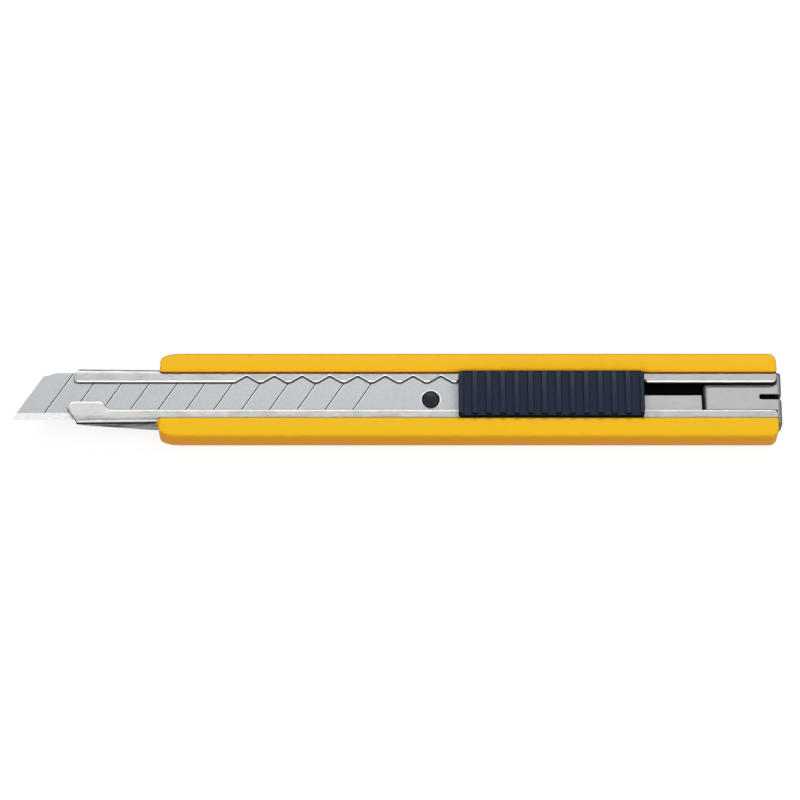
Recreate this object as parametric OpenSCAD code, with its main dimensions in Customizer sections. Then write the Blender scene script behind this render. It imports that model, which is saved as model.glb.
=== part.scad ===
// Slim snap-off knife with a 9 mm blade, lying on its back.
// X runs along the knife with the blade tip toward -X, the cutting edge faces -Y and the slider +Z.
// The origin is the middle of the handle's flat back face. All sizes are in millimetres.

/* [Handle] */
// Length of the moulded handle
handle_l = 111.1; // [90:0.1:140]
// Width across both rails
handle_w = 16.2; // [13.4:0.1:20]
// Thickness of the wall under the channel
back_wall = 1.1; // [0.8:0.1:2]
// How far the rails stand above the channel's lips
rail_cover = 0.65; // [0.4:0.05:1.2]
// How far each rail reaches over the channel
rail_overhang = 0.7; // [0.3:0.05:1]
// Radius of the long outer edges at the front face
front_edge_r = 0.8; // [0.4:0.1:1.2]
// Radius of the long outer edges at the back face
back_edge_r = 2.2; // [1:0.1:2.4]
// Radius of the rails' inner edges
inner_edge_r = 0.4; // [0.2:0.05:0.5]
// Length of the rounded corners at the blade end
front_corner_l = 3.7; // [2:0.1:6]
// Depth of the rounded corners at the blade end
front_corner_w = 1.4; // [0.8:0.1:2]
// Radius of the corners at the tail end
rear_corner_r = 1.5; // [0.8:0.1:2]

/* [Blade] */
// Width of the blade strip
blade_w = 9; // [7.5:0.1:10.8]
// Thickness of the blade strip
blade_t = 0.38; // [0.3:0.01:0.5]
// Distance between the score lines
segment_pitch = 5; // [4.2:0.1:6]
// Slope of the score lines against the edge, in degrees
score_angle = 57; // [50:1:65]
// Width of the ground bevel at the edge
bevel_w = 1.3; // [0.8:0.1:2]
// Length of the plain tang behind the last score line, along the edge
tang_l = 22.2; // [19:0.1:24]
// Diameter of the hole in the tang
tang_hole_d = 3.3; // [3.2:0.1:4]
// Distance from the hole's centre to the tang's end
tang_hole_end = 7; // [6:0.1:8]
// How far the hole lies from the blade's middle, toward the edge
tang_hole_shift = 0.65; // [0:0.05:0.8]

/* [Channel] */
// Thickness of the stainless sheet
sheet_t = 0.4; // [0.33:0.01:0.5]
// Clearance beside the blade, each side
blade_side_fit = 0.2; // [0.1:0.05:0.5]
// Clearance between the blade and the lips above it
lip_fit = 0.07; // [0.05:0.01:0.2]
// Depth of the space for the runner under the blade
runner_space = 3.5; // [3.2:0.1:4.2]
// Outer radius of the folds
fold_r = 0.7; // [0.55:0.05:0.9]
// Opening between the two lips
lip_gap = 5.4; // [5:0.1:6]
// How far the nose reaches in front of the handle
nose_l = 16.7; // [13.9:0.1:20]
// Height of the nose's floor at the tip, above the rest of the floor
nose_rise = 3; // [2:0.1:3.1]
// Number of locking notches
notch_count = 15; // [8:1:15]
// Depth of a notch
notch_depth = 1.25; // [0.8:0.05:1.4]
// Slope of a notch's sides, in degrees
notch_slope = 32; // [30:1:45]

/* [Slider] */
// Length of the thumb piece
knob_l = 33.3; // [28:0.1:40]
// Clearance between the thumb piece and each rail
knob_side_fit = 0.21; // [0.15:0.01:0.4]
// Gap between the thumb piece and the lips under it
knob_lift = 0.15; // [0.1:0.01:0.3]
// Thickness of the thumb piece's plate
knob_plate_t = 1.05; // [0.8:0.05:1.6]
// Number of grip ribs between the end lips
rib_count = 12; // [6:1:12]
// Distance between the ribs
rib_pitch = 2.5; // [2.1:0.1:2.7]
// Width of a rib
rib_w = 0.95; // [0.6:0.05:1.2]
// Height of the ribs
rib_h = 0.65; // [0.3:0.05:0.9]
// Diameter of the runner's peg in the tang's hole
peg_d = 3.1; // [2.6:0.1:3.1]

/* [Tail clip] */
// Thickness of the clip's spring steel
clip_t = 0.5; // [0.4:0.05:0.6]
// Width of the tongue and of the arm
clip_w = 5; // [4.2:0.1:5.2]
// Width of the wall across the tail
clip_wall_w = 9.7; // [8:0.1:11.6]
// Length of the tongue inside the channel
tongue_l = 13.6; // [12:0.1:13.8]
// Length of the arm along the handle's back
clip_arm_l = 38; // [32:0.5:45]
// Gap between the clip's wall and the handle's end
clip_gap = 0.4; // [0.2:0.05:0.8]
// Width of the snapping slot
snap_slot_w = 1; // [0.8:0.1:1.2]
// Length of the snapping slot along the tongue
snap_slot_l = 4.2; // [3.5:0.1:5]

/* [Hidden] */
$fn = 64;
eps = 0.02;
over = 1;

// heights, from the back face upward
floor_z = back_wall;
runner_z = floor_z + sheet_t;
blade_z = runner_z + runner_space;
blade_top = blade_z + blade_t;
lip_z = blade_top + lip_fit;
lip_top = lip_z + sheet_t;
handle_h = lip_top + rail_cover;
knob_z = lip_top + knob_lift;
knob_top = knob_z + knob_plate_t;

// lengths and widths
front_x = -handle_l/2;
rear_x = handle_l/2;
channel_w = blade_w + 2*(blade_side_fit + sheet_t);
cavity_fit = 0.05;
cavity_w = channel_w + 2*cavity_fit;
rail_gap = cavity_w - 2*rail_overhang;
knob_w = rail_gap - 2*knob_side_fit;
lip_y = lip_gap/2;
nose_x = front_x - nose_l;

// nose outline: the upper lip ends a little behind the lobe of the lower lip
nose_lip_x = nose_x + 1.2;
nose_floor_x = nose_x + 1.8;
nose_wall_x = nose_x + 1.9;
lobe_y = -1.2;
lobe_l = 6.4;
lobe_slope_l = 1.1;
nose_bend_x = front_x - 0.8;

// locking notches; the tooth stands in one of them at rest, and a click back moves it one pitch
first_notch_l = 15.6;
first_notch_x = front_x + first_notch_l;
rest_notch = 11;
clicks_back = 3;
retract_l = clicks_back*segment_pitch;
notch_half = notch_depth/tan(notch_slope);
notch_r = 0.25;
tooth_x = first_notch_x + rest_notch*segment_pitch;

// slider
knob_mid = tooth_x - 0.18;
knob_x0 = knob_mid - knob_l/2;
knob_x1 = knob_mid + knob_l/2;
knob_corner_r = 0.55;
knob_end_lip = 0.65;
neck_fit = 0.2;
neck_w = lip_gap - 2*neck_fit;
neck_x0 = knob_x0 + 2.4;
neck_x1 = knob_x1 - 2;
pocket_y = -1.7;
pocket_x0 = tooth_x - 4.4;
pocket_h = 0.05;

// blade, measured along its cutting edge
tang_end_x = knob_x0 + 2;
segment_count = 12;
tip_x = tang_end_x - tang_l - segment_count*segment_pitch;
score_w = 0.22;
score_depth = 0.1;
break_l = 1.7;
break_h = 0.62;
tang_cut_l = 1.8;
tang_cut_w = 3.2;
peg_x = tang_end_x - tang_hole_end;
peg_proud = 0.85;

// runner
carrier_w = blade_w - 0.1;
carrier_fit = 0.1;
carrier_x0 = peg_x - 3.2;
carrier_x1 = rear_x - tongue_l - retract_l - 0.4;
carrier_tip_h = 1.2;

// studs under the thumb piece, in the runner
stud_d = 2;
stud_fit = 0.05;
stud_x = [knob_x0 + 5.6, carrier_x1 - 1.6];
stud_y = -1.2;
stud_l = 1.8;
stud_floor = 0.2;

// lock plate and arm
plate_w = blade_w - 1.2;
plate_x0 = tang_end_x + 0.5;
plate_tail_x = carrier_x1 + 1.7;
plate_x1 = rear_x - tongue_l;
plate_tail_y = 0.2;
pivot_x = tooth_x + 9.6;
pivot_y = 1.1;
pivot_r = 1.22;
pivot_fit = 0.08;
plate_fit = 0.04;
arm_w = 1.1;
tooth_play = 0.15;

// tail clip
clip_wall_x = rear_x + clip_gap;
clip_x1 = clip_wall_x + clip_t;
tongue_x0 = rear_x - tongue_l + 0.4;
tongue_top = blade_z - 0.15;
clip_bend_r = 1;
tongue_bend_r = 1;
clip_slot_fit = 0.6;
clip_slot_lead = 1;
leg_fit = 0.05;
arm_x0 = clip_x1 - clip_arm_l;
arm_end_r = 1.8;
bump_x = arm_x0 + 2.6;
bump_l = 1.4;
bump_r = 0.9;
bump_h = 1.05 - clip_t;
wall_step = 0.1;
slot_x = clip_x1 - snap_slot_l + snap_slot_w/2;
slot_y = 0.2;

function unit(v) = v/norm(v);

// points along an elliptical arc from angle a0 to a1
function arc(c, rx, ry, a0, a1, n = 8) =
  [for (i = [0:n]) let (a = a0 + (a1 - a0)*i/n) [c.x + rx*cos(a), c.y + ry*sin(a)]];

// points that round the corner b of the path a-b-c to radius r
function corner(a, b, c, r, n = 5) =
  let (u = unit(a - b), v = unit(c - b), half = acos(u*v)/2)
  let (start = b + u*r/tan(half), middle = b + unit(u + v)*r/sin(half))
  let (from = start - middle, to = b + v*r/tan(half) - middle)
  let (a0 = atan2(from.y, from.x), turn = atan2(from.x*to.y - from.y*to.x, from*to))
  [for (i = [0:n]) middle + r*[cos(a0 + turn*i/n), sin(a0 + turn*i/n)]];

// a closed outline from [x, y, r] rows, each corner rounded to its r
function smooth(p) = [for (i = [0:len(p) - 1])
  let (b = [p[i].x, p[i].y], q = p[(i + len(p) - 1) % len(p)], s = p[(i + 1) % len(p)])
  each p[i].z > 0 ? corner([q.x, q.y], b, [s.x, s.y], p[i].z) : [b]];

// where the score line that meets the edge at x lies at height y across the blade
function score_at(x, y) = x + (y + blade_w/2)/tan(score_angle);

module along_x(x0, x1) {
  translate([x0, 0, 0]) rotate([90, 0, 90]) linear_extrude(x1 - x0) children();
}

module across_y(w) {
  rotate([90, 0, 0]) linear_extrude(w, center = true) children();
}

// a box section with true round corners, standing on its lower side's middle
module rounded_section(w, h, top_r, low_r) {
  translate([-w/2, low_r]) square([w, h - low_r - top_r]);
  translate([-w/2 + low_r, 0]) square([w - 2*low_r, low_r]);
  translate([-w/2 + top_r, h - top_r - eps]) square([w - 2*top_r, top_r + eps]);
  for (s = [-1, 1]) {
    translate([s*(w/2 - low_r), low_r]) circle(low_r);
    translate([s*(w/2 - top_r), h - top_r]) circle(top_r);
  }
}

// what rounding takes off a square corner at the origin
module edge_cut(r) {
  difference() {
    translate([-eps, -r]) square([r + eps, r + eps]);
    translate([r, -r]) circle(r);
  }
}

module handle_section() {
  difference() {
    rounded_section(handle_w, handle_h, front_edge_r, back_edge_r);
    translate([-cavity_w/2, floor_z]) square([cavity_w, lip_top + cavity_fit - floor_z]);
    translate([-rail_gap/2, lip_top]) square([rail_gap, rail_cover + over]);
    for (s = [0, 1]) mirror([s, 0]) translate([rail_gap/2, handle_h]) edge_cut(inner_edge_r);
  }
}

module handle_outline() {
  w = handle_w/2;
  c = [front_x + front_corner_l, w - front_corner_w];
  r = rear_corner_r;
  polygon(concat(
    arc([c.x, -c.y], front_corner_l, front_corner_w, 180, 270),
    arc([rear_x - r, r - w], r, r, 270, 360),
    arc([rear_x - r, w - r], r, r, 0, 90),
    arc(c, front_corner_l, front_corner_w, 90, 180)));
}

// moulded grip: back wall and two rails that hold the channel
module handle() {
  slot_w = clip_w + 2*clip_slot_fit;
  color("orange") difference() {
    intersection() {
      along_x(front_x, rear_x) handle_section();
      linear_extrude(handle_h) handle_outline();
    }
    // open slot in the back for the clip's arm
    translate([arm_x0 - clip_slot_lead, -slot_w/2, -over]) cube([handle_l, slot_w, back_wall + 2*over]);
    translate([arm_x0 - clip_slot_lead, 0, -over]) cylinder(d = slot_w, h = back_wall + 2*over);
  }
}

// side view of the channel's outside (inset = 0) or of the space inside it
module channel_side(inset) {
  rise = nose_rise/(nose_bend_x - nose_floor_x);
  drop = inset*sqrt(1 + rise*rise);
  far = nose_x - over;
  polygon([
    [far, lip_top + over], [rear_x + over, lip_top + over], [rear_x + over, floor_z + inset],
    [nose_bend_x, floor_z + drop], [far, floor_z + drop + rise*(nose_bend_x - far)]]);
}

// opening between the lips, with the notches in the far lip and the lobe on the near one
module lip_opening() {
  far = nose_x - over;
  end = rear_x + over;
  top_y = lip_y + notch_depth;
  notches = [for (k = [0:notch_count - 1]) let (x = first_notch_x + k*segment_pitch)
    each [[x - notch_half, lip_y, notch_r], [x, top_y, notch_r], [x + notch_half, lip_y, notch_r]]];
  lobe_x = nose_x + lobe_l;
  polygon(smooth(concat(
    [[far, lobe_y, 0], [far, lip_y, 0]],
    notches,
    [[rear_x - 0.9, lip_y, 0.8], [rear_x, lip_y + 0.9, 0], [end, lip_y + 0.9, 0]],
    [[end, -lip_y - 0.9, 0], [rear_x, -lip_y - 0.9, 0], [rear_x - 0.9, -lip_y, 0.8]],
    [[lobe_x + lobe_slope_l, -lip_y, 0.6], [lobe_x, lobe_y, 0.5]])));
}

// plan of the whole channel, with the shaped nose end
module channel_outline() {
  w = channel_w/2 + over;
  slant = 0.68;
  polygon(smooth([
    [rear_x, -w, 0], [nose_wall_x - slant*over, -w, 0], [nose_x, -lip_y + 0.35, 0.7],
    [nose_x + 0.6, lobe_y, 0.5], [nose_floor_x, lobe_y, 0], [nose_floor_x, lip_y, 0],
    [nose_lip_x + 0.25, lip_y, 0.6], [nose_lip_x, lip_y + 0.9, 0.3], [nose_lip_x + 0.7, w, 0],
    [rear_x, w, 0]]));
}

// folded stainless sleeve that guides the blade and carries the notches
module blade_channel() {
  inner_w = channel_w - 2*sheet_t;
  color("gainsboro") difference() {
    intersection() {
      along_x(nose_x, rear_x) translate([0, floor_z])
        rounded_section(channel_w, lip_top - floor_z, fold_r, fold_r);
      across_y(channel_w + over) channel_side(0);
      linear_extrude(lip_top + over) channel_outline();
    }
    intersection() {
      along_x(nose_x - over, rear_x + over) translate([0, runner_z])
        rounded_section(inner_w, lip_z - runner_z, fold_r - sheet_t, fold_r - sheet_t);
      across_y(channel_w) channel_side(sheet_t);
    }
    translate([0, 0, lip_z - eps]) linear_extrude(sheet_t + over) lip_opening();
  }
}

module knob_outline() {
  w = knob_w/2;
  r = knob_corner_r;
  polygon(smooth([[knob_x0, -w, r], [knob_x1, -w, r], [knob_x1, w, r], [knob_x0, w, r]]));
}

// one grip bar across the thumb piece, from x for the width w
module grip_bar(x, w) {
  translate([x, -knob_w/2, knob_top - eps]) cube([w, knob_w, rib_h + eps]);
}

// thumb piece: ribbed plate, neck through the lips, and two studs into the runner
module slider_knob() {
  rib_x0 = knob_mid - (rib_count - 1)*rib_pitch/2 - rib_w/2;
  color("#2d3442") difference() {
    union() {
      translate([0, 0, knob_z]) linear_extrude(knob_plate_t) knob_outline();
      intersection() {
        union() {
          for (i = [0:rib_count - 1]) grip_bar(rib_x0 + i*rib_pitch, rib_w);
          grip_bar(knob_x0, knob_end_lip);
          grip_bar(knob_x1 - knob_end_lip, knob_end_lip);
        }
        linear_extrude(knob_top + rib_h) knob_outline();
      }
      translate([neck_x0, -neck_w/2, blade_top])
        cube([neck_x1 - neck_x0, neck_w, knob_z - blade_top + eps]);
      for (x = stud_x) translate([x, stud_y, blade_z - stud_l])
        cylinder(d = stud_d, h = blade_t + stud_l + eps);
    }
    // pocket in the neck for the lock arm and its swing
    translate([0, 0, blade_top - over]) {
      linear_extrude(over + lip_top + pocket_h - blade_top) {
        translate([pocket_x0, pocket_y]) square([pivot_x - pocket_x0, neck_w]);
        translate([pivot_x, pivot_y]) circle(pivot_r + pivot_fit);
      }
    }
  }
}

// black runner under the blade, with the peg that drives the tang
module blade_carrier() {
  low = runner_z + carrier_fit;
  rise = nose_rise/(nose_bend_x - nose_floor_x);
  wedge_x = carrier_x0 + (blade_z - carrier_tip_h - low)/rise;
  color("#23262c") difference() {
    union() {
      across_y(carrier_w) polygon([
        [carrier_x0, blade_z], [carrier_x0, blade_z - carrier_tip_h], [wedge_x, low],
        [carrier_x1, low], [carrier_x1, blade_z]]);
      translate([peg_x, -tang_hole_shift, blade_z - eps])
        cylinder(d = peg_d, h = blade_t + peg_proud/2 + eps);
      translate([peg_x, -tang_hole_shift, blade_top + peg_proud/2]) intersection() {
        cap_r = (peg_d*peg_d/4 + peg_proud*peg_proud/4)/peg_proud;
        translate([0, 0, peg_proud/2 - cap_r]) sphere(cap_r);
        cylinder(d = peg_d, h = peg_proud);
      }
    }
    for (x = stud_x) translate([x, stud_y, blade_z - stud_l - stud_floor])
      cylinder(d = stud_d + 2*stud_fit, h = stud_l + over);
  }
}

// spring steel plate between the runner and the thumb piece, with its tail behind the slider
module lock_plate() {
  color("silver") difference() {
    translate([0, 0, blade_z]) linear_extrude(blade_t) polygon(smooth([
      [plate_x0, -plate_w/2, 0.8], [plate_x1, -plate_w/2, 0.3], [plate_x1, plate_tail_y, 0.2],
      [plate_tail_x, plate_tail_y, 0.8], [plate_tail_x, plate_w/2, 0.8], [plate_x0, plate_w/2, 0.8]]));
    for (x = stud_x) translate([x, stud_y, blade_z - over])
      cylinder(d = stud_d + 2*stud_fit, h = blade_t + 2*over);
  }
}

// sprung arm whose tooth stands in a notch of the far lip
module lock_arm() {
  tip_y = lip_y + notch_depth - tooth_play;
  low_y = pivot_y - arm_w/2;
  high_y = pivot_y + arm_w/2;
  half = (tip_y - high_y)/tan(notch_slope);
  z0 = blade_top + plate_fit;
  color("silver") translate([0, 0, z0]) linear_extrude(lip_top - z0) {
    translate([pivot_x, pivot_y]) circle(pivot_r);
    polygon(smooth([
      [pivot_x, low_y, 0], [pivot_x, high_y, 0], [tooth_x + half, high_y, 0.4], [tooth_x, tip_y, 0.3],
      [tooth_x - half, high_y, 0.4], [tooth_x - half, low_y, 0.3]]));
  }
}

// side view of the clip: tongue with its rolled front leg, tail wall and back arm
module clip_side() {
  r = clip_bend_r;
  difference() {
    polygon(smooth([
      [arm_x0, 0, 0], [clip_x1, 0, r], [clip_x1, tongue_top, r], [tongue_x0, tongue_top, tongue_bend_r],
      [tongue_x0, runner_z + leg_fit, 0], [tongue_x0 + clip_t, runner_z + leg_fit, 0],
      [tongue_x0 + clip_t, tongue_top - clip_t, tongue_bend_r - clip_t],
      [clip_wall_x, tongue_top - clip_t, r - clip_t], [clip_wall_x, clip_t, r - clip_t],
      [bump_x + bump_l, clip_t, 0.4], [bump_x, clip_t + bump_h, 0.6], [arm_x0, clip_t + bump_h/3, 0]]));
    translate([bump_x, -bump_r]) circle(r = bump_r + bump_h*0.7);
  }
}

// spring steel tail clip: blade snapper, end stop and pocket clip in one strip
module tail_clip() {
  wall_x = rear_x + wall_step;
  w = clip_w/2;
  ww = clip_wall_w/2;
  color("lightgray") difference() {
    intersection() {
      across_y(clip_wall_w + over) clip_side();
      linear_extrude(tongue_top + over) polygon(smooth([
        [arm_x0, -w, arm_end_r], [wall_x, -w, 0], [wall_x, -ww, 0], [clip_x1 + over, -ww, 0],
        [clip_x1 + over, ww, 0], [wall_x, ww, 0], [wall_x, w, 0], [arm_x0, w, arm_end_r]]));
    }
    // snapping slot through the tongue and down the wall
    translate([slot_x, slot_y - snap_slot_w/2, runner_z]) cube([snap_slot_l + over, snap_slot_w, tongue_top]);
    translate([slot_x, slot_y, runner_z]) cylinder(d = snap_slot_w, h = tongue_top);
  }
}

// cross-section of the blade strip, thin at the edge on the -Y side
module blade_section() {
  w = blade_w/2;
  edge = 0.02;
  polygon([
    [w, 0], [w, blade_t], [bevel_w - w, blade_t], [-w, (blade_t + edge)/2],
    [-w, (blade_t - edge)/2], [bevel_w - w, 0]]);
}

// half-open groove along the score line that meets the edge at x
module score_groove(x) {
  y0 = bevel_w - blade_w/2;
  l = (blade_w - bevel_w)/sin(score_angle);
  translate([score_at(x, y0), y0, blade_top]) rotate([0, 0, score_angle]) along_x(0, l + over)
    polygon([[-score_w/2, eps], [0, -score_depth], [score_w/2, eps]]);
}

module blade_piece(outline, scores) {
  color("lightsteelblue") difference() {
    intersection() {
      translate([0, 0, blade_z]) along_x(tip_x - over, tang_end_x + over) blade_section();
      linear_extrude(blade_top + over) polygon(outline);
    }
    for (x = scores) score_groove(x);
  }
}

// one snap-off length of the strip, numbered from the tip
module blade_segment(k) {
  x0 = tip_x + (k - 1)*segment_pitch;
  x1 = x0 + segment_pitch;
  w = blade_w/2;
  // the tip keeps the small step that the last break left at the spine
  front = k > 1 ? [[score_at(x0, w), w]]
    : [[score_at(x0, w) + break_l, w], [score_at(x0, w) + break_l/3, w - 0.74*break_h],
      [score_at(x0, w - break_h), w - break_h]];
  blade_piece(
    concat([[x0, -w], [x1, -w], [score_at(x1, w), w]], front),
    k > 1 ? [x0, x1] : [x1]);
}

// plain rear end of the strip, with the hole that the runner's peg drives
module blade_tang() {
  x0 = tip_x + segment_count*segment_pitch;
  w = blade_w/2;
  difference() {
    blade_piece(
      [[x0, -w], [tang_end_x, -w], [tang_end_x, w - tang_cut_w], [tang_end_x - tang_cut_l, w],
        [score_at(x0, w), w]],
      [x0]);
    translate([peg_x, -tang_hole_shift, blade_z - over]) cylinder(d = tang_hole_d, h = blade_t + 2*over);
  }
}

handle();
blade_channel();
slider_knob();
blade_carrier();
lock_plate();
lock_arm();
tail_clip();
blade_segment(1);  // blade_segment_01
blade_segment(2);  // blade_segment_02
blade_segment(3);  // blade_segment_03
blade_segment(4);  // blade_segment_04
blade_segment(5);  // blade_segment_05
blade_segment(6);  // blade_segment_06
blade_segment(7);  // blade_segment_07
blade_segment(8);  // blade_segment_08
blade_segment(9);  // blade_segment_09
blade_segment(10);  // blade_segment_10
blade_segment(11);  // blade_segment_11
blade_segment(12);  // blade_segment_12
blade_tang();
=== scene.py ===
import bpy
import bmesh
from math import atan2, acos, cos, sin, pi, radians, sqrt, tan
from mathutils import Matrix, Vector


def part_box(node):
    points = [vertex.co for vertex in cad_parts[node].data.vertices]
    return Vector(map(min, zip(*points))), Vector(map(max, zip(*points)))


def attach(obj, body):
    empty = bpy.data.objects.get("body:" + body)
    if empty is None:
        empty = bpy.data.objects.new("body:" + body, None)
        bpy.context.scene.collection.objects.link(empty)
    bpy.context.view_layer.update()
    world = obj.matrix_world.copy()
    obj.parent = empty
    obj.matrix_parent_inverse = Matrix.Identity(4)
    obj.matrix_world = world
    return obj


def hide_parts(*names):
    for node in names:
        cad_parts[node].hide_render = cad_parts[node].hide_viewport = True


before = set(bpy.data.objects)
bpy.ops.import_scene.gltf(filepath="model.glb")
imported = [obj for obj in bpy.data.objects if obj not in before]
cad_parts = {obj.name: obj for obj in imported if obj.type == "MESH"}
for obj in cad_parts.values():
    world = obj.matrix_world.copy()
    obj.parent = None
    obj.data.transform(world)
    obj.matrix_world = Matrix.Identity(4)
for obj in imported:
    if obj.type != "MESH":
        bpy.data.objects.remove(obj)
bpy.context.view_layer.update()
mm = 0.001


def boxOf(node):
    low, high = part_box(node)
    return Vector(low) / mm, Vector(high) / mm


gripLow, gripHigh = boxOf("handle")
sheetLow, sheetHigh = boxOf("blade_channel")
thumbLow, thumbHigh = boxOf("slider_knob")
runnerLow, runnerHigh = boxOf("blade_carrier")
plateLow, plateHigh = boxOf("lock_plate")
clipLow, clipHigh = boxOf("tail_clip")
tangLow, tangHigh = boxOf("blade_tang")
tipLow = boxOf("blade_segment_01")[0]
bladeLow, bladeTop = tangLow.z, tangHigh.z
print("frame loaded, all sizes below are in millimetres")

# the camera stands in front and looks steeply down; all but the lens in millimetres
view = {"aim": (-12.31, 0.15, 3.2), "distance": 600, "tilt": 22, "across": 144.4, "sensor": 36}


def makeCamera():
    lens = view["sensor"] * view["distance"] / view["across"]
    data = bpy.data.cameras.new("camera")
    data.lens = lens
    data.sensor_width = view["sensor"]
    data.clip_start = 0.01
    camera = bpy.data.objects.new("camera", data)
    bpy.context.scene.collection.objects.link(camera)
    tilt = radians(view["tilt"])
    away = Vector((0, -sin(tilt), cos(tilt))) * view["distance"]
    camera.location = (Vector(view["aim"]) + away) * mm
    camera.rotation_euler = (tilt, 0, 0)
    bpy.context.scene.camera = camera


makeCamera()
print("camera ready")


# one socket of a node tree, which sums and products can use as a number
class Field:
    def __init__(self, wiring, socket):
        self.wiring = wiring
        self.socket = socket

    def __add__(self, other):
        return self.wiring.calc("ADD", self, other)

    def __sub__(self, other):
        return self.wiring.calc("SUBTRACT", self, other)

    def __rsub__(self, other):
        return self.wiring.calc("SUBTRACT", other, self)

    def __mul__(self, other):
        return self.wiring.calc("MULTIPLY", self, other)

    def __truediv__(self, other):
        return self.wiring.calc("DIVIDE", self, other)

    def __gt__(self, other):
        return self.wiring.calc("GREATER_THAN", self, other)

    def __lt__(self, other):
        return self.wiring.calc("LESS_THAN", self, other)

    __radd__ = __add__
    __rmul__ = __mul__

    def clamped(self):
        return self.wiring.calc("ADD", self, 0.0, clamp=True)

    # 0 below low, 1 above high, straight in between
    def between(self, low, high):
        return ((self - low) / (high - low)).clamped()


# makes and joins the nodes of one tree
class Wiring:
    def __init__(self, tree):
        self.tree = tree

    def join(self, socket, value):
        if isinstance(value, Field):
            self.tree.links.new(value.socket, socket)
        else:
            socket.default_value = value

    # any node: its settings first, then the values or links of its sockets
    def node(self, kind, settings=None, values=None, out=0):
        made = self.tree.nodes.new(kind)
        for key, value in (settings or {}).items():
            if key == "stops":
                self.fillRamp(made.color_ramp, value)
            else:
                setattr(made, key, value)
        for key, value in (values or {}).items():
            self.join(made.inputs[key], value)
        return Field(self, made.outputs[out])

    def calc(self, operation, *values, clamp=False):
        return self.node("ShaderNodeMath", {"operation": operation, "use_clamp": clamp},
                         dict(enumerate(values)))

    def fillRamp(self, ramp, stops):
        while len(ramp.elements) < len(stops):
            ramp.elements.new(1.0)
        for element, (place, colour) in zip(ramp.elements, stops):
            element.position = place
            element.color = (*colour, 1)


# a material with one Principled shader
class Finish(Wiring):
    def __init__(self, name, colour, roughness, metallic=0.0):
        self.material = bpy.data.materials.new(name)
        self.material.use_nodes = True
        super().__init__(self.material.node_tree)
        self.tree.nodes.clear()
        self.shader = self.tree.nodes.new("ShaderNodeBsdfPrincipled")
        out = self.tree.nodes.new("ShaderNodeOutputMaterial")
        self.tree.links.new(self.shader.outputs[0], out.inputs[0])
        self.put("Base Color", (*colour, 1))
        self.put("Roughness", roughness)
        self.put("Metallic", metallic)
        self.material.diffuse_color = (*colour, 1)

    def put(self, name, value):
        self.join(self.shader.inputs[name], value)

    # the point on the surface in millimetres, stretched by a factor along each axis
    def place(self, stretch=(1, 1, 1)):
        point = self.node("ShaderNodeTexCoord", out="Object")
        return self.node("ShaderNodeVectorMath", {"operation": "MULTIPLY"},
                         {0: point, 1: tuple(s / mm for s in stretch)})

    def axis(self, name):
        return self.node("ShaderNodeSeparateXYZ", values={0: self.place()}, out=name)

    def noise(self, scale, stretch=(1, 1, 1), detail=3, roughness=0.55):
        return self.node("ShaderNodeTexNoise", values={
            "Vector": self.place(stretch), "Scale": scale, "Detail": detail, "Roughness": roughness})

    def mix(self, share, a, b):
        return self.node("ShaderNodeMix", {"data_type": "RGBA"}, {0: share, 6: a, 7: b}, out=2)

    def bump(self, height, strength, distance):
        normal = self.node("ShaderNodeBump", values={
            "Height": height, "Strength": strength, "Distance": distance * mm})
        self.put("Normal", normal)


def shade(colour, factor):
    return (*[c * factor for c in colour], 1)


finishes = {}


# rounds each corner of a path of (a, b, radius) rows, in the given number of steps
def roundPath(rows, closed=True, steps=5):
    points = []
    count = len(rows)
    for i, (a, b, r) in enumerate(rows):
        here = Vector((a, b))
        if r <= 0 or (not closed and i in (0, count - 1)):
            points.append(here)
            continue
        before = Vector(rows[i - 1][:2]) - here
        after = Vector(rows[(i + 1) % count][:2]) - here
        u, v = before.normalized(), after.normalized()
        half = acos(max(-1, min(1, u.dot(v)))) / 2
        middle = here + (u + v).normalized() * r / sin(half)
        start = here + u * r / tan(half) - middle
        end = here + v * r / tan(half) - middle
        turn = atan2(start.x * end.y - start.y * end.x, start.dot(end))
        first = atan2(start.y, start.x)
        points += [middle + r * Vector((cos(first + turn * k / steps), sin(first + turn * k / steps)))
                   for k in range(steps + 1)]
    return points


def smoothStep(low, high, x):
    t = max(0.0, min(1.0, (x - low) / (high - low)))
    return t * t * (3 - 2 * t)


# the larger of two numbers, with the crossing rounded over k
def softMax(a, b, k):
    h = max(0.0, min(1.0, 0.5 + 0.5 * (a - b) / k))
    return b + (a - b) * h + k * h * (1 - h)


# quads between loops of points; both ends stay open
def loftInto(bm, loops):
    rings = [[bm.verts.new(p) for p in loop] for loop in loops]
    for a, b in zip(rings, rings[1:]):
        for i in range(len(a)):
            j = (i + 1) % len(a)
            bm.faces.new((a[i], a[j], b[j], b[i]))
    return rings


# a band of quads that closes the end of a bent sheet, whose loop runs out along one face and back
# along the other
def capSheet(bm, ring):
    n = len(ring)
    for i in range(n // 2 - 1):
        j = n - 1 - i
        bm.faces.new((ring[i], ring[i + 1], ring[j - 1], ring[j]))


def meshPiece(name, bm, material, sharp=32):
    bmesh.ops.remove_doubles(bm, verts=bm.verts, dist=0.0008)
    bmesh.ops.recalc_face_normals(bm, faces=bm.faces)
    bmesh.ops.scale(bm, verts=bm.verts, vec=(mm, mm, mm))
    mesh = bpy.data.meshes.new(name)
    bm.to_mesh(mesh)
    bm.free()
    mesh.materials.append(material)
    mesh.shade_smooth()
    mesh.set_sharp_from_angle(angle=radians(sharp))
    piece = bpy.data.objects.new(name, mesh)
    bpy.context.scene.collection.objects.link(piece)
    return piece


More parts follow.
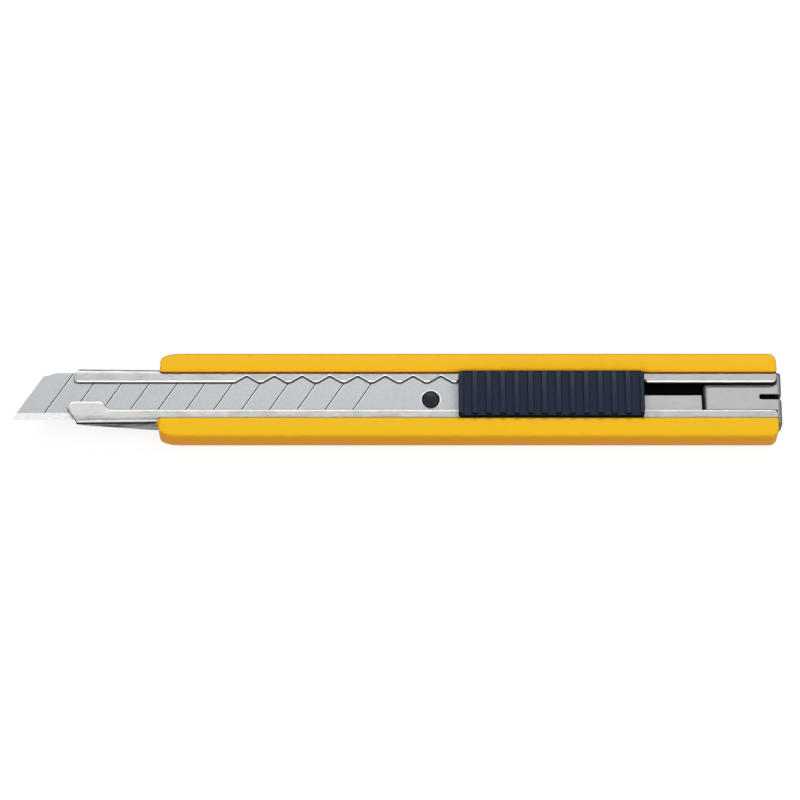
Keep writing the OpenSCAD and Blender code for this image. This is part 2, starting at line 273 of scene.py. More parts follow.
# softens a piece's square edges, then keeps its flat faces looking flat
def soften(piece, width, segments=3, angle=40):
    bevel = piece.modifiers.new("soft_edges", "BEVEL")
    bevel.width = width * mm
    bevel.segments = segments
    bevel.limit_method = "ANGLE"
    bevel.angle_limit = radians(angle)
    bevel.use_clamp_overlap = True
    keepFlat(piece)


def keepFlat(piece):
    weigh = piece.modifiers.new("flat_faces", "WEIGHTED_NORMAL")
    weigh.keep_sharp = True


# a plate with the given outline, from z low to high
def plateInto(bm, outline, low, high):
    bottom = [bm.verts.new((p.x, p.y, low)) for p in outline]
    top = [bm.verts.new((p.x, p.y, high)) for p in outline]
    bm.faces.new(bottom[::-1])
    bm.faces.new(top)
    for i in range(len(outline)):
        j = (i + 1) % len(outline)
        bm.faces.new((bottom[i], bottom[j], top[j], top[i]))


# the evaluated shape of an object as a plain mesh, with its modifiers gone
def settle(piece):
    bpy.context.view_layer.update()
    done = bpy.data.meshes.new_from_object(piece.evaluated_get(bpy.context.evaluated_depsgraph_get()))
    done.name = piece.name
    piece.modifiers.clear()
    piece.data = done
    return piece


# the grip: a back wall with two rails
grip = {"frontR": 0.8, "backR": 2.2, "innerR": 0.4, "cornerL": 3.7, "cornerW": 1.4, "rearR": 1.5,
        "endR": 0.45, "overhang": 0.7, "fit": 0.05, "slotHalf": 3.1, "slotLead": 1.0,
        "nubAt": (0.12, -5.05, -0.85), "nubR": (0.62, 0.4, 1.35), "innerShade": (4.212, 4.4145, 4.75, 5.1)}


def yellowGrip():
    # side is a painted-shade copy of the face colour, deeper orange, for faces the lights leave in shade
    face, side = (0.815, 0.455, 0.003), (0.93, 0.38, 0.003)
    f = Finish("yellow_moulding", face, 0.4)
    x, y, z = f.axis("X"), f.axis("Y"), f.axis("Z")
    # painted shade: the faces turned to the front, away from the lights at the back, are painted a deeper
    # orange, also round the near rail's front corner
    corner = (1 - x.between(gripLow.x + 0.2, gripLow.x + 3)) * 1.7
    low = 1 - z.between(gripHigh.z - 0.6, gripHigh.z - 0.03)
    outer = (1 - (y - corner).between(gripLow.y + 0.1, gripLow.y + 0.5)) * low
    # the far rail's inner edge also gets part of the painted shade
    a, b, c, d = grip["innerShade"]
    inner = y.between(a, b) * (1 - y.between(c, d))
    colour = f.mix((outer + inner * 0.45).clamped(), (*face, 1), (*side, 1))
    cloud = f.noise(0.12, detail=2)
    f.put("Base Color", f.mix(cloud.between(0.35, 0.65) * 0.06, colour, (1, 0.56, 0.02, 1)))
    grain = f.noise(9.0, detail=2)
    f.put("Roughness", 0.36 + 0.1 * grain)
    f.bump(grain + 0.6 * f.noise(1.1, detail=2), 0.1, 0.02)
    f.put("Specular IOR Level", 0.2)
    return f.material


# the rows of a closed section, moved inward by d
def insetRows(rows, d):
    moved = []
    count = len(rows)
    for i, (a, b, r) in enumerate(rows):
        here = Vector((a, b))
        u = (here - Vector(rows[i - 1][:2])).normalized()
        v = (Vector(rows[(i + 1) % count][:2]) - here).normalized()
        nu, nv = Vector((-u.y, u.x)), Vector((-v.y, v.x))
        miter = (nu + nv) / (1 + nu.dot(nv))
        turnsLeft = u.x * v.y - u.y * v.x > 0
        radius = max(r - d, 0.06) if turnsLeft else r + d
        moved.append((*(here + miter * d), radius))
    return moved


def gripSection(inset, cut):
    w, h = gripHigh.y, gripHigh.z
    cw = sheetHigh.y + grip["fit"]
    gap = cw - grip["overhang"]
    lipZ, floorZ = sheetHigh.z + grip["fit"], sheetLow.z
    rows = [(-w, 0, grip["backR"]), (w, 0, grip["backR"]), (w, h, grip["frontR"]), (gap, h, grip["innerR"]),
            (gap, lipZ, 0.1), (cw, lipZ, 0.15), (cw, floorZ, 0.15),
            (-cw, floorZ, 0.15), (-cw, lipZ, 0.15), (-gap, lipZ, 0.1), (-gap, h, grip["innerR"]),
            (-w, h, grip["frontR"])]
    points = roundPath(insetRows(rows, inset), steps=6)
    section = []
    for p in points:
        share = max(0.0, min(1.0, (abs(p.x) - cw) / (w - cw)))
        y = abs(p.x) - cut * share
        section.append((y if p.x > 0 else -y, p.y))
    return section


# a small upright nub at the front of the near rail, over the channel's fold
def nubInto(bm):
    middle = Vector((gripLow.x, 0, sheetHigh.z)) + Vector(grip["nubAt"])
    made = bmesh.ops.create_uvsphere(bm, u_segments=20, v_segments=12, radius=1.0)["verts"]
    for v in made:
        v.co = middle + Vector([a * r for a, r in zip(v.co, grip["nubR"])])


def makeGrip():
    x0, x1, r = gripLow.x, gripHigh.x, grip["endR"]
    stations = {}
    for k in range(13):
        a = pi / 2 * k / 12
        stations[round(x0 + grip["cornerL"] * (1 - cos(a)), 4)] = None
        stations[round(x1 - grip["rearR"] * (1 - cos(a)), 4)] = None
        stations[round(x0 + r * (1 - cos(a)), 4)] = None
        stations[round(x1 - r * (1 - cos(a)), 4)] = None
    loops = []
    for x in sorted(stations):
        end = min(x - x0, x1 - x)
        inset = r - sqrt(max(0.0, r * r - max(0.0, r - end) ** 2))
        front = min(1.0, max(0.0, 1 - (x - x0) / grip["cornerL"]))
        rear = min(1.0, max(0.0, 1 - (x1 - x) / grip["rearR"]))
        cut = grip["cornerW"] * (1 - sqrt(1 - front * front)) + grip["rearR"] * (1 - sqrt(1 - rear * rear))
        loops.append([Vector((x, y, z)) for y, z in gripSection(inset, cut)])
    bm = bmesh.new()
    rings = loftInto(bm, loops)
    bm.faces.new(rings[0])
    bm.faces.new(rings[-1])
    nubInto(bm)
    piece = meshPiece("grip_moulding", bm, finishes["grip"])
    # the open slot in the back for the clip's arm
    halfSlot = grip["slotHalf"]
    start = clipLow.x - grip["slotLead"]
    outline = [Vector((start - halfSlot * sin(pi * k / 24), halfSlot * cos(pi * k / 24))) for k in range(25)]
    outline += [Vector((x1 + 5, -halfSlot)), Vector((x1 + 5, halfSlot))]
    bm = bmesh.new()
    plateInto(bm, outline[::-1], -1, sheetLow.z + 0.3)
    cutter = meshPiece("slot_cutter", bm, finishes["grip"])
    cut = piece.modifiers.new("back_slot", "BOOLEAN")
    cut.operation = "DIFFERENCE"
    cut.solver = "EXACT"
    cut.object = cutter
    settle(piece)
    bpy.data.objects.remove(cutter)
    return piece


finishes["grip"] = yellowGrip()
gripPiece = makeGrip()
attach(gripPiece, "root")
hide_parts("handle")
print("grip made")

# the folded channel, with locking notches in its far lip
channel = {"sheet": 0.4, "foldR": 0.7, "lip": 2.66, "nearLip": 2.83, "farRim": 0.21, "nearRim": 0.13,
           "farDrop": 0.16, "nearDrop": 0.05, "broken": 0.2, "under": 0.06, "flare": 0.16, "floorTipZ": 4.1,
           "bendAhead": 0.8, "endBack": 1.85, "settle": 3.2, "pitch": 5.0, "firstNotch": 15.6, "count": 15,
           "depth": 1.25, "slope": 32, "lobe": 1.2, "lobeL": 6.4, "lobeSlopeL": 1.1, "endR": 0.9,
           "slantY": 2.35, "slant": 0.69, "slantR": 0.5, "farEnd": 1.15, "farLeanY": 3.7, "farLean": 0.55,
           "farEndR": 0.65, "railEdge": (4.16, 4.32)}


# rolled stainless sheet: fine lines along the strip, smudges and small dark specks
class SheetFinish(Finish):
    def __init__(self, name, grey, wear):
        colour = (grey, grey, grey * 0.995)
        super().__init__(name, colour, 0.4, 1.0)
        self.lines = self.noise(6.0, (0.06, 1, 1), detail=3)
        self.smudge = self.noise(0.6, (0.6, 1.4, 1), detail=4, roughness=0.65)
        specks = self.noise(2.6, (0.7, 1.3, 1), detail=4, roughness=0.7).between(0.58, 0.72)
        steel = self.mix(self.smudge.between(0.35, 0.65), shade(colour, 1 - 0.16 * wear),
                         shade(colour, 1 + 0.12 * wear))
        self.steel = self.mix(specks * (0.6 * wear), steel, shade(colour, 0.5))
        self.put("Roughness", 0.36 + 0.08 * self.lines + 0.08 * self.smudge)
        self.bump(self.lines + 0.5 * self.smudge, 0.04 + 0.08 * wear, 0.012)
        self.put("Base Color", self.steel)


def channelSteel():
    c, top = channel, sheetHigh.z
    f = SheetFinish("stainless_sheet", 0.57, 1.0)
    x, side, z = f.axis("X"), f.axis("Y"), f.axis("Z")
    y = f.calc("ABSOLUTE", side)
    far, near = side > 0, side < 0
    steel = f.mix(x.between(gripLow.x, gripHigh.x) * 0.5, f.steel, (0.42, 0.42, 0.415, 1))
    # the far lip is a shade darker than the near one, and the near lip lighter at the nose
    steel = f.mix(far * 0.24, steel, (0.3, 0.3, 0.3, 1))
    nose = 1 - x.between(gripLow.x - 6, gripLow.x)
    steel = f.mix(near * nose * 0.3, steel, (0.8, 0.8, 0.79, 1))
    # painted highlight: a bright line along the lips' inner rims
    rim = (1 - z.between(top - 0.08, top - 0.015)) * (y < 4.0)
    steel = f.mix(rim, steel, (0.97, 0.97, 0.96, 1))
    # painted shade: the cut edges of the lips are painted near-black for the shadow line under them, and
    # everything below the blade dark for the deep shade inside the channel
    cut = (1 - z.between(top - 0.2, top - 0.165)) * (y < 4.3)
    steel = f.mix(cut, steel, (0.02, 0.02, 0.022, 1))
    inside = (1 - z.between(bladeTop - 2.6, bladeTop - 0.2)) * (y < sheetHigh.y - 0.32)
    steel = f.mix(inside * 0.93, steel, (0.03, 0.032, 0.035, 1))
    # painted shade: the cut ends of the nose are painted near-black too
    nearBack = x - f.calc("MAXIMUM", 0, -1 * side - c["slantY"]) * c["slant"] - sheetLow.x
    farBack = x - f.calc("MAXIMUM", 0, side - c["farLeanY"]) * c["farLean"] - sheetLow.x - c["farEnd"]
    nearEnd = (1 - nearBack.between(0.06, 0.15)) * near * (z > bladeTop + 0.1)
    farEnd = (1 - farBack.between(0.05, 0.14)) * far
    steel = f.mix((nearEnd + farEnd).clamped(), steel, (0.03, 0.03, 0.032, 1))
    # painted shadow: the lip is painted dark red-brown in the corner under the rails, for the rail's shadow
    # and its orange reflection
    corner = y.between(*c["railEdge"]) * (x > gripLow.x) * (z > top - 0.05)
    steel = f.mix(corner * 0.85, steel, (0.1, 0.022, 0.008, 1))
    # painted light on the outer walls: streaks of painted reflection, light and dark, along them, and a
    # painted shadow band under the fold
    wall = (y > sheetHigh.y - 0.2) * (1 - z.between(top - 0.5, top - 0.2))
    streak = f.noise(1.5, (0.07, 1, 1), detail=4, roughness=0.75).between(0.5, 0.58)
    band = z.between(bladeTop - 0.6, bladeTop - 0.35)
    steel = f.mix(wall * (1 - streak) * 0.9, steel, (0.95, 0.92, 0.88, 1))
    steel = f.mix(wall * (streak * 0.68 + band).clamped(), steel, (0.04, 0.037, 0.035, 1))
    f.put("Base Color", steel)
    return f.material


# distance from the middle to the far lip's edge: the locking notches
def farLip(x):
    c = channel
    start = gripLow.x + c["firstNotch"]
    k = max(0, min(c["count"] - 1, round((x - start) / c["pitch"])))
    off = sqrt((x - start - k * c["pitch"]) ** 2 + 0.02)
    return softMax(c["lip"], c["lip"] + c["depth"] + 0.08 - off * tan(radians(c["slope"])), 0.1)


# the near lip's edge: a wide lobe at the nose
def nearLip(x):
    c = channel
    end = sheetLow.x + c["lobeL"]
    return c["lobe"] + (c["nearLip"] - c["lobe"]) * smoothStep(end - 0.45, end + c["lobeSlopeL"] + 0.35, x)


def rearRound(x):
    c = channel
    past = max(0.0, x - (sheetHigh.x - c["endR"]))
    return c["endR"] - sqrt(max(0.0, c["endR"] ** 2 - past * past))


# how far the nose reaches at y: the lobe's slanted end, the floor and the far lip's end
def noseEnd(y, z, far, near):
    c, x0 = channel, sheetLow.x
    flat = x0 + c["endBack"]
    if z < bladeTop - 0.3:
        return flat
    if y < -near + 0.02:
        slant = x0 + max(0.0, -y - c["slantY"]) * c["slant"]
        front = x0 + 0.6 * smoothStep(-2.45, -near, y)
        r = c["slantR"]
        inside = max(0.0, r - (-near - y))
        return softMax(slant, front, 0.25) + r - sqrt(max(0.0, r * r - inside * inside))
    if y > far - 0.02:
        r = c["farEndR"]
        inside = max(0.0, r - (y - far))
        outer = x0 + c["farEnd"] + c["farLean"] * max(0.0, y - c["farLeanY"])
        return outer + r - sqrt(max(0.0, r * r - inside * inside))
    return flat


# one section of the sheet: points (y, z) out along the outer face, round the near rim and back inside
def channelSection(x):
    c = channel
    t, top = c["sheet"], sheetHigh.z
    bend = gripLow.x - c["bendAhead"]
    nose = max(0.0, (bend - x) / (bend - (sheetLow.x + c["endBack"])))
    floor = sheetLow.z + (c["floorTipZ"] - sheetLow.z) * min(nose, 1.06)
    w = sheetHigh.y + c["flare"] * min(1.0, nose)
    far, near = farLip(x) + rearRound(x), nearLip(x) + rearRound(x)
    farRim, nearRim = c["farRim"], c["nearRim"]
    shares = (0, 0.07, 0.16, 0.28, 0.45, 0.7, 1)

    def face(inner):
        r = c["foldR"] - t if inner else c["foldR"]
        off = t if inner else 0.0
        tt, ff = top - off, floor + off
        fold = w - c["foldR"]
        rows = [(far + farRim + s * (fold - far - farRim), tt) for s in shares]
        rows += [(fold + r * sin(a), tt - r + r * cos(a)) for a in [pi / 2 * k / 5 for k in range(1, 6)]]
        rows += [(fold + r * cos(a), ff + r - r * sin(a)) for a in [pi / 2 * k / 5 for k in range(6)]]
        rows += [(0, ff)]
        rows += [(-fold - r * sin(a), ff + r - r * cos(a)) for a in [pi / 2 * k / 5 for k in range(6)]]
        rows += [(-fold - r * cos(a), tt - r + r * sin(a)) for a in [pi / 2 * k / 5 for k in range(5)]]
        rows += [(-near - nearRim - s * (fold - near - nearRim), tt) for s in reversed(shares)]
        return rows

    outer, inner = face(False), face(True)
    under = c["under"]
    nearEdge = [(-near - nearRim * 0.08, top - c["nearDrop"]), (-near, top - c["nearDrop"] - 0.05),
               (-near, top - t + under), (-near - under, top - t)]
    broken = far - c["broken"]
    farEdge = [(broken + under, top - t), (broken, top - t + under), (far - 0.02, top - c["farDrop"] - 0.03),
               (far + farRim * 0.06, top - c["farDrop"] + 0.01)]
    loop = farEdge[2:] + outer + nearEdge + inner[::-1] + farEdge[:2]
    farMid, nearMid = (far + 0.02, top - t / 2), (-near - 0.02, top - t / 2)
    between = [((a + p) / 2, (b + q) / 2) for (a, b), (p, q) in zip(outer, inner)]
    mids = [farMid] * 2 + between + [nearMid] * 4 + between[::-1] + [farMid] * 2
    return loop, mids, far, near


def makeChannel():
    c = channel
    x0, x1 = sheetLow.x, sheetHigh.x
    settled = x0 + c["settle"]
    loops = []

    # thin is how full the sheet's thickness is, so that both cut ends are softly rounded
    def station(x, blend, thin):
        loop, mids, far, near = channelSection(x)
        row = []
        for (y, z), (my, mz) in zip(loop, mids):
            px = x
            if blend is not None:
                px = noseEnd(y, z, far, near) * (1 - blend) + settled * blend
            row.append(Vector((px, my + (y - my) * thin, mz + (z - mz) * thin)))
        loops.append(row)

    for blend, thin in ((0, 0.42), (0.012, 0.8), (0.04, 1), (0.2, 1), (0.4, 1), (0.7, 1)):
        station(x0 + c["settle"] * max(blend, 0.35), blend, thin)
    xs = [settled + 0.4 * k for k in range(7)]
    lobeEnd = x0 + c["lobeL"]
    xs += [lobeEnd - 0.6 + 0.15 * k for k in range(16)]
    bend = gripLow.x - c["bendAhead"]
    xs += [lobeEnd + 3, lobeEnd + 6, bend - 0.4, bend, gripLow.x + 2]
    first = gripLow.x + c["firstNotch"]
    for k in range(c["count"]):
        xs += [first + k * c["pitch"] + d for d in
               (-2.49, -2.25, -2.1, -1.97, -1.85, -1.6, -1.2, -0.7, -0.35, -0.2, -0.1, 0,
                0.1, 0.2, 0.35, 0.7, 1.2, 1.6, 1.85, 1.97, 2.1, 2.25)]
    xs += [first + c["count"] * c["pitch"] - 2.4, 40, 50]
    xs += [x1 - c["endR"] * cos(pi / 2 * k / 8) for k in range(8)]
    for x in sorted(xs):
        station(x, None, 1)
    for back, thin in ((0.12, 1), (0.035, 0.8), (0, 0.42)):
        station(x1 - back, None, thin)
    bm = bmesh.new()
    rings = loftInto(bm, loops)
    for ring in (rings[0], rings[-1]):
        capSheet(bm, ring[-2:] + ring[:-2])
    return meshPiece("folded_channel", bm, finishes["sheet"])


finishes["sheet"] = channelSteel()
channelPiece = makeChannel()
keepFlat(channelPiece)
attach(channelPiece, "root")
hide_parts("blade_channel")
print("channel made")

# the thumb piece: a plate with ribs, on a neck
thumb = {"cornerR": 0.55, "plateT": 1.05, "ribH": 0.65, "ribW": 0.95, "pitch": 2.5, "count": 12,
         "endLip": 0.65, "edge": 0.1, "taperFar": 0.32, "taperNear": 0.2, "skirt": 0.08, "neckW": 4.6,
         "neckX": (2.4, 2.0)}


# dark moulding of the thumb piece: rib tops painted lighter as a highlight, with some polish from the thumb;
# painted shade on the rib sides, end faces and outline
def darkSlider(topZ, base):
    low, high, black = (0.007, 0.016, 0.04, 1), (0.015, 0.023, 0.042, 1), (0.002, 0.003, 0.005, 1)
    f = Finish("dark_moulding", low[:3], 0.5)
    x, y, z = f.axis("X"), f.axis("Y"), f.axis("Z")
    # painted highlight on the rib tops, with patches of polish
    sheenAndWear = z.between(topZ - 0.3, topZ - 0.04)
    patch = f.noise(0.5, detail=3)
    colour = f.mix(sheenAndWear * (0.6 + 0.5 * patch), low, high)
    # painted shade, in the black colour: rib sides, rib end faces, the low walls, the far side and both ends
    flank = z.between(topZ - 0.6, topZ - 0.5) * (1 - z.between(topZ - 0.16, topZ - 0.06))
    ribEnd = (1 - y.between(thumbLow.y + 0.16, thumbLow.y + 0.22)) * (z > base + 0.04)
    lowWall = 1 - z.between(base - 0.14, base - 0.05)
    farSide = y.between(thumbHigh.y - 0.2, thumbHigh.y - 0.08)
    half = (thumbHigh.x - thumbLow.x) / 2
    bothEnds = f.calc("ABSOLUTE", x - (thumbLow.x + half)).between(half - 0.2, half - 0.08)
    dark = (flank * 0.85 + ribEnd + lowWall + farSide + bothEnds * 0.8).clamped()
    f.put("Base Color", f.mix(dark, colour, black))
    grain = f.noise(7.0, detail=2)
    f.put("Roughness", 0.48 + 0.1 * grain - 0.08 * sheenAndWear + 0.45 * dark)
    f.put("Specular IOR Level", 0.19)
    f.bump(grain, 0.2, 0.02)
    return f.material


# draws the upper ends of the ribs in, so that their end faces lean
def taperTops(bm, z):
    for v in bm.verts:
        if v.co.z > z + thumb["ribH"] / 2:
            limit = thumbHigh.y - (thumb["taperFar"] if v.co.y > 0 else thumb["taperNear"])
            v.co.y = max(-limit, min(limit, v.co.y))


def ribTemplate():
    w, l, h = thumb["ribW"] / 2, thumbHigh.y, thumb["ribH"]
    bm = bmesh.new()
    outline = [Vector(p) for p in ((-w, -l), (w, -l), (w, l), (-w, l))]
    plateInto(bm, outline, -0.02, h)
    taperTops(bm, 0)
    top = [e for e in bm.edges if all(v.co.z > 0 for v in e.verts)]
    upright = [e for e in bm.edges if e.verts[0].co.z * e.verts[1].co.z < 0]
    bmesh.ops.bevel(bm, geom=top + upright, offset=thumb["edge"], segments=3, profile=0.5, affect="EDGES")
    return meshPiece("rib_template", bm, finishes["slider"])


# a row of ribs: the template set at even steps along X
def ribTree():
    tree = bpy.data.node_groups.new("rib_row", "GeometryNodeTree")
    face = tree.interface
    sockets = {}
    for name, kind in (("Rib", "NodeSocketObject"), ("Count", "NodeSocketInt"), ("Start", "NodeSocketVector"),
                       ("Step", "NodeSocketVector"), ("Material", "NodeSocketMaterial")):
        sockets[name] = face.new_socket(name, in_out="INPUT", socket_type=kind).identifier
    face.new_socket("Geometry", in_out="OUTPUT", socket_type="NodeSocketGeometry")
    w = Wiring(tree)
    given = tree.nodes.new("NodeGroupInput")
    value = {name: Field(w, given.outputs[name]) for name in sockets}
    line = w.node("GeometryNodeMeshLine", {"mode": "OFFSET"},
                  {"Count": value["Count"], "Start Location": value["Start"], "Offset": value["Step"]})
    rib = w.node("GeometryNodeObjectInfo", values={"Object": value["Rib"]}, out="Geometry")
    spread = w.node("GeometryNodeInstanceOnPoints", values={"Points": line, "Instance": rib})
    real = w.node("GeometryNodeRealizeInstances", values={"Geometry": spread})
    painted = w.node("GeometryNodeSetMaterial", values={"Geometry": real, "Material": value["Material"]})
    out = tree.nodes.new("NodeGroupOutput")
    w.join(out.inputs["Geometry"], painted)
    return tree, sockets


def makeRibs(plateTop):
    template = ribTemplate()
    middle = (thumbLow.x + thumbHigh.x) / 2
    start = middle - (thumb["count"] - 1) * thumb["pitch"] / 2
    row = bpy.data.objects.new("thumb_ribs", bpy.data.meshes.new("thumb_ribs"))
    bpy.context.scene.collection.objects.link(row)
    tree, sockets = ribTree()
    modifier = row.modifiers.new("rib_row", "NODES")
    modifier.node_group = tree
    modifier[sockets["Rib"]] = template
    modifier[sockets["Count"]] = thumb["count"]
    modifier[sockets["Start"]] = (start * mm, 0, plateTop * mm)
    modifier[sockets["Step"]] = (thumb["pitch"] * mm, 0, 0)
    modifier[sockets["Material"]] = finishes["slider"]
    settle(row)
    bpy.data.objects.remove(template)
    return row


def makeThumb(plateTop):
    x0, x1, w, r = thumbLow.x, thumbHigh.x, thumbHigh.y, thumb["cornerR"]
    bm = bmesh.new()
    outline = roundPath([(x0, -w, r), (x1, -w, r), (x1, w, r), (x0, w, r)])
    plateInto(bm, outline, plateTop - thumb["plateT"], plateTop)
    # the walls lean out a little toward the lips below
    for v in bm.verts:
        if v.co.z < plateTop - 0.1:
            v.co.y *= 1 + thumb["skirt"] / w
    lip = thumb["endLip"]
    for inner, outer in ((x0 + lip, x0), (x1 - lip, x1)):
        rows = [(outer, -w, r), (inner, -w, 0.05), (inner, w, 0.05), (outer, w, r)]
        points = roundPath(rows if inner > outer else rows[::-1])
        plateInto(bm, points, plateTop - 0.02, plateTop + thumb["ribH"])
    taperTops(bm, plateTop)
    n = thumb["neckW"] / 2
    neck = [Vector((x0 + thumb["neckX"][0], -n)), Vector((x1 - thumb["neckX"][1], -n)),
            Vector((x1 - thumb["neckX"][1], n)), Vector((x0 + thumb["neckX"][0], n))]
    plateInto(bm, neck, bladeTop + 0.05, plateTop - thumb["plateT"] + 0.02)
    piece = meshPiece("thumb_plate", bm, finishes["slider"])
    soften(piece, thumb["edge"])
    return piece


plateTop = thumbHigh.z - thumb["ribH"]
finishes["slider"] = darkSlider(thumbHigh.z, plateTop)
thumbPlate = makeThumb(plateTop)
thumbRibs = makeRibs(plateTop)
for piece in (thumbPlate, thumbRibs):
    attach(piece, "slider")
    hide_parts("slider_knob")
print("thumb piece made")

# the runner under the blade, with the peg through the blade's hole
runner = {"tipH": 1.2, "riseFrom": 1.8, "edge": 0.15, "pegD": 3.1, "pegProud": 0.85, "pegShift": 0.65,
          "pegBack": 3.2}


def blackRunner():
    colour = (0.010, 0.011, 0.016)
    f = Finish("black_moulding", colour, 0.42)
    grain = f.noise(6.0, detail=2)
    f.put("Base Color", f.mix(grain, shade(colour, 0.85), shade(colour, 1.2)))
    f.put("Roughness", 0.36 + 0.14 * grain)
    f.put("Specular IOR Level", 0.25)
    f.bump(grain, 0.12, 0.015)
    return f.material


def makeRunner():
    x0, x1, w = runnerLow.x, runnerHigh.x, runnerHigh.y
    low, high = runnerLow.z, bladeLow
    bend = gripLow.x - channel["bendAhead"]
    rise = (channel["floorTipZ"] - sheetLow.z) / (bend - sheetLow.x - runner["riseFrom"])
    wedge = x0 + (high - runner["tipH"] - low) / rise
    rows = [(x0, high), (x0, high - runner["tipH"]), (wedge, low), (x1, low), (x1, high)]
    bm = bmesh.new()
    near = [bm.verts.new((x, -w, z)) for x, z in rows]
    far = [bm.verts.new((x, w, z)) for x, z in rows]
    bm.faces.new(near)
    bm.faces.new(far[::-1])
    for i in range(len(rows)):
        j = (i + 1) % len(rows)
        bm.faces.new((near[j], near[i], far[i], far[j]))
    body = meshPiece("runner_body", bm, finishes["runner"])
    soften(body, runner["edge"])
    r, proud = runner["pegD"] / 2, runner["pegProud"]
    top = bladeTop + proud
    profile = [(r, high - 0.2), (r, bladeTop + proud * 0.35)]
    profile += [(r * cos(a) ** 0.8, bladeTop + proud * 0.35 + proud * 0.65 * sin(a))
                for a in [pi / 2 * k / 9 for k in range(1, 9)]]
    bm = bmesh.new()
    rings = []
    px, py = x0 + runner["pegBack"], -runner["pegShift"]
    for radius, z in profile:
        rings.append([Vector((px + radius * cos(a), py + radius * sin(a), z))
                      for a in [2 * pi * k / 48 for k in range(48)]])
    made = loftInto(bm, rings)
    crown = bm.verts.new((px, py, top))
    last = made[-1]
    for i in range(len(last)):
        bm.faces.new((last[i], last[(i + 1) % len(last)], crown))
    bm.faces.new(made[0][::-1])
    peg = meshPiece("runner_peg", bm, finishes["runner"], sharp=50)
    return body, peg


finishes["runner"] = blackRunner()
for piece in makeRunner():
    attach(piece, "slider")
    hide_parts("blade_carrier")
print("runner made")

# the lock plate, whose tail shows behind the thumb piece
plate = {"tailY": 0.2, "behindRunner": 1.7, "edge": 0.07}


def makePlate():
    x0, x1, w = plateLow.x, plateHigh.x, plateHigh.y
    turn = runnerHigh.x + plate["behindRunner"]
    outline = roundPath([(x0, -w, 0.8), (x1, -w, 0.3), (x1, plate["tailY"], 0.2), (turn, plate["tailY"], 0.8),
                         (turn, w, 0.8), (x0, w, 0.8)])
    bm = bmesh.new()
    plateInto(bm, outline, plateLow.z, plateHigh.z)
    piece = meshPiece("lock_strip", bm, finishes["spring"])
    soften(piece, plate["edge"], segments=2)
    return piece


finishes["spring"] = SheetFinish("spring_steel", 0.455, 0.25).material
platePiece = makePlate()
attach(platePiece, "slider")
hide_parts("lock_plate")
print("lock plate made")

# the tail clip: a tongue with the snapping slot, a tail wall and an arm along the back
clip = {"t": 0.5, "w": 2.5, "r": 0.75, "armBump": 0.5, "slotW": 1.0, "slotL": 3.7, "slotY": 0.2,
        "slotLowZ": 1.5, "rim": 0.12, "tongueL": 13.2, "leg": 1.55, "freeR": 1.8}


# the middle line of the strip in X and Z, from the leg in the channel round the tail to the arm's free end
def clipPath():
    t = clip["t"]
    back, top = clipHigh.x - t / 2, clipHigh.z - t / 2
    start = gripHigh.x - clip["tongueL"] + t / 2
    arm = clipLow.x
    r = clip["r"]
    rows = [(start, clipLow.z + clip["leg"], 0), (start, top, r), (back, top, r), (back, t / 2, r),
            (arm + 4, t / 2, 0.6), (arm + 2.4, t / 2 + clip["armBump"], 0.9), (arm + t / 2, t / 2 + 0.1, 0)]
    return roundPath(rows, closed=False, steps=8)


# adds points so that no step along the path is longer than its own limit
def densify(path, longest, zone):
    out = [path[0]]
    for a, b in zip(path, path[1:]):
        limit = longest if zone(a) or zone(b) else 5.0
        parts = max(1, int((b - a).length / limit + 0.999))
        out += [a.lerp(b, k / parts) for k in range(1, parts + 1)]
    return out


def clipHalf(side):
    c = clip
    tail = gripHigh.x
    wallW = clipHigh.y
    slotStart = clipHigh.x - c["slotL"] - c["slotW"] / 2

    def nearTail(p):
        return p.x > slotStart - 0.2

    path = densify(clipPath(), 0.12, nearTail)
    travelled = [0.0]
    for a, b in zip(path, path[1:]):
        travelled.append(travelled[-1] + (b - a).length)
    total = travelled[-1]
    wallAt = next(s for s, p in zip(travelled, path) if p.x > tail + 0.05)
    wallEnd = next(s for s, p in zip(travelled, path) if s > wallAt + 3 and p.x < tail + 0.1)
    slotAt = next(s for s, p in zip(travelled, path) if p.x > slotStart)
    slotEnd = next(s for s, p in zip(travelled, path) if s > slotAt + 3 and p.y < c["slotLowZ"])
    loops = []
    for i, (s, p) in enumerate(zip(travelled, path)):
        before, after = path[max(0, i - 1)], path[min(len(path) - 1, i + 1)]
        along = (after - before).normalized()
        out = Vector((-along.y, along.x))
        wide = smoothStep(wallAt - 0.15, wallAt + 0.1, s) * (1 - smoothStep(wallEnd - 0.1, wallEnd + 0.15, s))
        w = c["w"] + (wallW - c["w"]) * wide
        free = max(0.0, c["freeR"] - (total - s))
        w -= c["freeR"] - sqrt(max(0.0, c["freeR"] ** 2 - free ** 2)) if free else 0.0
        r = c["slotW"] / 2
        inSlot = 0.0
        if slotAt <= s <= slotEnd:
            near = min(1.0, min(s - slotAt, slotEnd - s) / r)
            inSlot = r * sqrt(1 - (1 - near) ** 2)
        inner = c["slotY"] + side * inSlot
        outer = side * w
        rim = c["rim"]
        innerRim = rim * min(1.0, inSlot / r * 2)
        end = min(s, total - s)
        thin = 1 if end > 0.12 else 0.45 + 0.55 * sqrt(1 - (1 - end / 0.12) ** 2)
        h = c["t"] / 2 * thin
        k = h / (c["t"] / 2)
        hold, holdIn = rim * 1.9, innerRim + rim * 0.9
        section = [(inner + side * innerRim, h), (inner + side * holdIn, h), (outer - side * hold, h),
                   (outer - side * rim, h), (outer - side * rim * 0.3, h - rim * 0.3 * k),
                   (outer, h - rim * k), (outer, rim * k - h), (outer - side * rim * 0.3, rim * 0.3 * k - h),
                   (outer - side * rim, -h), (outer - side * hold, -h), (inner + side * holdIn, -h),
                   (inner + side * innerRim, -h),
                   (inner, innerRim * k - h), (inner, h - innerRim * k)]
        loops.append([Vector((p.x + out.x * v, y, p.y + out.y * v)) for y, v in section])
    return loops


